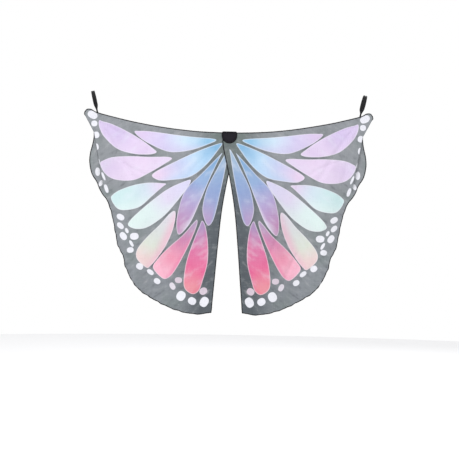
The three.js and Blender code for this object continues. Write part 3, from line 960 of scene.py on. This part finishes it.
def wristElastic(name, material, thread):
    line = loopLine()
    height = line[:, 1]
    ahead = unit(np.gradient(line, axis=0))
    opened = smooth((height - elastic["pinchTop"]) / elastic["pinchRun"])
    widths = elastic["neckWidth"] + (elastic["width"] - elastic["neckWidth"]) * opened
    zero = np.zeros(len(line))
    _, middle = atLoop(name, np.stack([zero, line[:, 0], height], 1))
    across, _ = atLoop(name, np.stack([zero + 1, zero, zero], 1))
    up, _ = atLoop(name, np.stack([zero, ahead[:, 1], -ahead[:, 0]], 1))
    band = sweep(f"{name}Elastic", middle, across, up, widths, elastic["thickness"], False)
    band.data.materials.append(material)
    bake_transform(band)
    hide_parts(f"{name}_wrist_loop")
    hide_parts(f"{name}_loop_ends")

    # bar tack: close threads across the sewn ends, on the side of the wing that faces away
    low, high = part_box(f"{name}_loop_tack")
    rise = np.linspace(elastic["tackFrom"], elastic["tackTo"], elastic["tackThreads"])
    behind = (low.y + high.y) / 2 - 0.0001
    _, knots = atLoop(name, np.stack([0 * rise, 0 * rise, rise], 1))
    knots[:, 1] = behind
    along, _ = atLoop(name, [(0, 0, 1)] * len(rise))
    out, _ = atLoop(name, [(1, 0, 0)] * len(rise))
    tack = sewThreads(f"{name}Tack", knots, along, out, thread, **{
        "Half Width": 0.0024, "Half Height": 0.0005, "Thread Radius": 0.00026,
        "Start Angle": -3.14, "Sweep": 6.28, "Slant": 0.12, "Jitter": 0.06, "Seed": 5, "Resolution": 12})
    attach(tack, f"{name}_wing")
    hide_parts(f"{name}_loop_tack")


# Half-round patch with its bound rim and stitches

patch = {
    "bulge": 0.0005,       # how far the felt's middle stands out
    "rimWidth": 0.0036,
    "rimPitch": 0.0011,
    "rimLength": 0.132,
    "corner": 0.0022,
    "stitchInset": 0.0046,
    "stitches": 40,
    "felt": colour(28, 27, 33),
    "rim": colour(15, 15, 18),
}


def patchLine(inset, count):
    # evenly spaced places on the half-round outline, anticlockwise seen from behind the wearer
    half = (patchHigh.x - patchLow.x) / 2 - inset
    top = patchHigh.z - inset
    shoulder = patchHigh.z - ((patchHigh.z - patchLow.z) - (patchHigh.x - patchLow.x) / 2)
    angles = np.linspace(math.pi, 2 * math.pi, 40)
    bottom = np.stack([half * np.cos(angles), shoulder + half * np.sin(angles)], 1)
    corner = patch["corner"]
    line = np.array([(half, top - corner), (half - corner * 0.3, top - corner * 0.3), (half - corner, top),
                     (-half + corner, top), (-half + corner * 0.3, top - corner * 0.3),
                     (-half, top - corner), *bottom, (half, top - corner)])
    return evenly(line, count + 1)[:-1]


def patchMaterial():
    material, tree, shader = newMaterial("patchFelt", Roughness=0.95, Sheen_Weight=0.04,
                                         Sheen_Roughness=0.6, Specular_IOR_Level=0.1)
    place = addNode(tree, "ShaderNodeTexCoord").outputs["Object"]
    fibre = cloudy(tree, place, 900.0, 1.6, 6.0)
    coarse = cloudy(tree, place, 260.0, 1.2, 3.0)
    tone = mixColours(tree, remap(tree, fibre, -0.6, 0.6, 0.0, 0.5), patch["felt"], colour(56, 53, 61))
    tone = mixColours(tree, remap(tree, coarse, -0.2, 0.4, 0.0, 0.5), tone, colour(17, 16, 20))
    tone = dusty(tree, tone, place, 420.0, 0.08, colour(170, 166, 168))
    dress(tree, shader, tone, fibre, 0.8, 0.0003)
    return material


def centrePatch(felt, rimThread):
    count, rings = 132, 9
    rear = patchLow.y + patch["bulge"]
    front = patchHigh.y
    shares = np.linspace(0, 1, rings) ** 0.8
    centre = np.array([0.0, (patchLow.z + patchHigh.z) / 2])
    edge = patchLine(0.0002, count)
    points, faces = [], []
    for share in shares[1:]:
        for x, z in centre + (edge - centre) * share:
            points.append((x, rear - patch["bulge"] * (1 - share ** 3), z))
    middle = len(points)
    points.append((centre[0], rear - patch["bulge"], centre[1]))
    frontStart = len(points)
    points += [(x, front, z) for x, z in edge]
    frontMiddle = len(points)
    points.append((centre[0], front, centre[1]))
    for k in range(count):
        after = (k + 1) % count
        faces.append((middle, after, k))
        for ring in range(rings - 2):
            a, b = ring * count, (ring + 1) * count
            faces.append((a + k, a + after, b + after, b + k))
        last = (rings - 2) * count
        faces.append((last + k, last + after, frontStart + after, frontStart + k))
        faces.append((frontMiddle, frontStart + k, frontStart + after))
    body = makeObject("patchFelt", points, faces)
    faceOutward(body)
    body.data.materials.append(felt)

    # rim: satin stitches wrapped over the edge, side by side
    stitches = patchLine(patch["rimWidth"] / 2 - 0.0004, int(patch["rimLength"] / patch["rimPitch"]) * 2)
    ahead = headings(stitches)
    y = np.full(len(stitches), (rear + front) / 2)
    places = np.stack([stitches[:, 0], y, stitches[:, 1]], 1)
    along = np.stack([ahead[:, 0], 0 * y, ahead[:, 1]], 1)
    out = np.stack([ahead[:, 1], 0 * y, -ahead[:, 0]], 1)
    out *= np.sign((out[:, [0, 2]] * (stitches - centre)).sum(1))[:, None]
    rim = sewThreads("patchRim", places, along, out, rimThread, **{
        "Half Width": patch["rimWidth"] / 2, "Half Height": (front - rear) / 2 + 0.0001,
        "Thread Radius": 0.00034, "Start Angle": -2.7, "Sweep": 5.4, "Slant": 0.05, "Jitter": 0.04,
        "Seed": 7, "Resolution": 9})

    # running stitch just inside the rim
    seam = patchLine(patch["stitchInset"], patch["stitches"])
    ahead = headings(seam)
    y = np.full(len(seam), rear - patch["bulge"] * 0.45)
    places = np.stack([seam[:, 0], y, seam[:, 1]], 1)
    out = np.stack([ahead[:, 0], 0 * y, ahead[:, 1]], 1)
    along = np.stack([-ahead[:, 1], 0 * y, ahead[:, 0]], 1)
    stitch = sewThreads("patchStitching", places, along, out, rimThread, **{
        "Half Width": 0.0010, "Half Height": 0.0005, "Thread Radius": 0.00024, "Start Angle": -3.14,
        "Sweep": 6.28, "Slant": 0.0, "Jitter": 0.08, "Seed": 11, "Resolution": 12})
    for piece, node, slot in ((body, "centre_patch", "black_felt"), (rim, "centre_patch", "black_thread"),
                              (stitch, "patch_stitching", "black_thread")):
        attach(piece, "sewn_centre")
        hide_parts(node)


# Hook tape on the body side of the patch
hooks = {
    "pitch": 0.0014,
    "margin": 0.0016,      # bare rim of the tape
    "height": 0.0009,
    "weavePitch": 0.0007,
    "colour": colour(40, 40, 44),
}


def hookMaterial():
    material, tree, shader = newMaterial("hookNylon", Roughness=0.45, Specular_IOR_Level=0.5)
    place = addNode(tree, "ShaderNodeTexCoord").outputs["Object"]
    ground = addNode(tree, "ShaderNodeSeparateXYZ", {0: place}).outputs
    flatWeave = addNode(tree, "ShaderNodeCombineXYZ", {0: ground[0], 1: ground[2]}).outputs[0]
    height = useGroup(tree, weave, {"Vector": flatWeave, "Pitch": hooks["weavePitch"]})["Height"]
    # painted shade in the low parts of the tape's weave
    tone = mixColours(tree, remap(tree, height, 0.0, 0.6), colour(16, 16, 19), hooks["colour"])
    tone = dusty(tree, tone, place, 600.0, 0.35, colour(176, 172, 172))
    dress(tree, shader, tone, height, 0.5, 0.0002)
    return material


def hookTape(material):
    tape = frame["nodes"]["hook_tape"]
    tape.data.materials.clear()
    tape.data.materials.append(material)
    margin = hooks["margin"]
    xs = np.arange(tapeLow.x + margin, tapeHigh.x - margin, hooks["pitch"])
    zs = np.arange(tapeLow.z + margin, tapeHigh.z - margin, hooks["pitch"])
    grid = np.array([(x + 0.35 * hooks["pitch"] * (row % 2), tapeHigh.y + 0.0001, z)
                     for row, z in enumerate(zs) for x in xs])
    along = np.tile((1.0, 0.0, 0.0), (len(grid), 1))
    out = np.tile((0.0, 1.0, 0.0), (len(grid), 1))
    field = sewThreads("tapeHooks", grid, along, out, material, **{
        "Half Width": hooks["height"], "Half Height": 0.0005, "Thread Radius": 0.00011,
        "Start Angle": -1.4, "Sweep": 3.7, "Slant": 0.0, "Jitter": 0.15, "Seed": 13, "Resolution": 6})
    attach(field, "sewn_centre")


# Put it together

black = threadMaterial("edgingBand", edging["colour"])
overlock = threadMaterial("overlockThread", edging["threadColour"])
printed = clothMaterial()
ribbed = elasticMaterial()
print("materials made")
for name in sides:
    grid = wingCloth(name, printed)
    print(name, "cloth made")
    wingEdging(name, grid, black, overlock)
    wristElastic(name, ribbed, overlock)
    print(name, "edging and elastic made")
centrePatch(patchMaterial(), threadMaterial("rimThread", patch["rim"], 0.6))
hookTape(hookMaterial())
print("patch and tape made")


# Camera, floor and light

view = {
    "distance": 4.5,
    "aim": (0.0046, 0.0, -0.2644),
    "fieldWidth": 1.3209,
    "turn": math.radians(1.7),
    "above": math.radians(1.0),
    "roll": math.radians(0.9),
    "floor": -0.95,
    "floorRadius": 4.5,
}


def setStage():
    camera = bpy.data.objects.new("camera", bpy.data.cameras.new("camera"))
    bpy.context.scene.collection.objects.link(camera)
    level = math.cos(view["above"]) * view["distance"]
    camera.location = (view["aim"][0] - math.sin(view["turn"]) * level,
                       view["aim"][1] - math.cos(view["turn"]) * level,
                       view["aim"][2] + math.sin(view["above"]) * view["distance"])
    camera.rotation_euler = (math.pi / 2 - view["above"], 0, -view["turn"])
    camera.rotation_euler.rotate_axis("Z", view["roll"])
    camera.data.sensor_width = 36
    camera.data.lens = 36 * view["distance"] / view["fieldWidth"]
    bpy.context.scene.camera = camera
    bpy.context.scene.view_settings.view_transform = "Standard"    # printed colours stay as they are

    pale, _, _ = newMaterial("paleFloor", Roughness=0.9, Base_Color=(0.84, 0.84, 0.85, 1))
    angles = np.linspace(0, 2 * math.pi, 97)[:-1]
    ring = [(view["floorRadius"] * math.cos(a), view["floorRadius"] * math.sin(a), view["floor"])
            for a in angles]
    floor = makeObject("floor", ring, [tuple(range(len(ring)))], False)
    floor.data.materials.append(pale)

    world = bpy.data.worlds.new("studio")
    bpy.context.scene.world = world
    world.use_nodes = True
    world.node_tree.nodes["Background"].inputs["Color"].default_value = (1, 1, 1, 1)
    world.node_tree.nodes["Background"].inputs["Strength"].default_value = 1.0
    lamps = (("key", (-1.9, -3.0, 1.9), 1.2, 60), ("fill", (2.4, -2.6, 0.9), 2.2, 14),
             ("top", (0.2, -0.4, 2.6), 1.8, 14), ("behind", (1.2, 3.0, 1.2), 1.6, 30))
    for label, place, size, power in lamps:
        light = bpy.data.lights.new(label, "AREA")
        light.size = size
        light.energy = power
        lamp = bpy.data.objects.new(label, light)
        bpy.context.scene.collection.objects.link(lamp)
        lamp.location = place
        toward = np.array((0, 0, -0.2)) - np.array(place)
        yaw = math.atan2(toward[1], toward[0]) - math.pi / 2
        pitch = math.atan2(math.hypot(toward[0], toward[1]), -toward[2])
        lamp.rotation_euler = (pitch, 0, yaw)


setStage()
print("stage set")
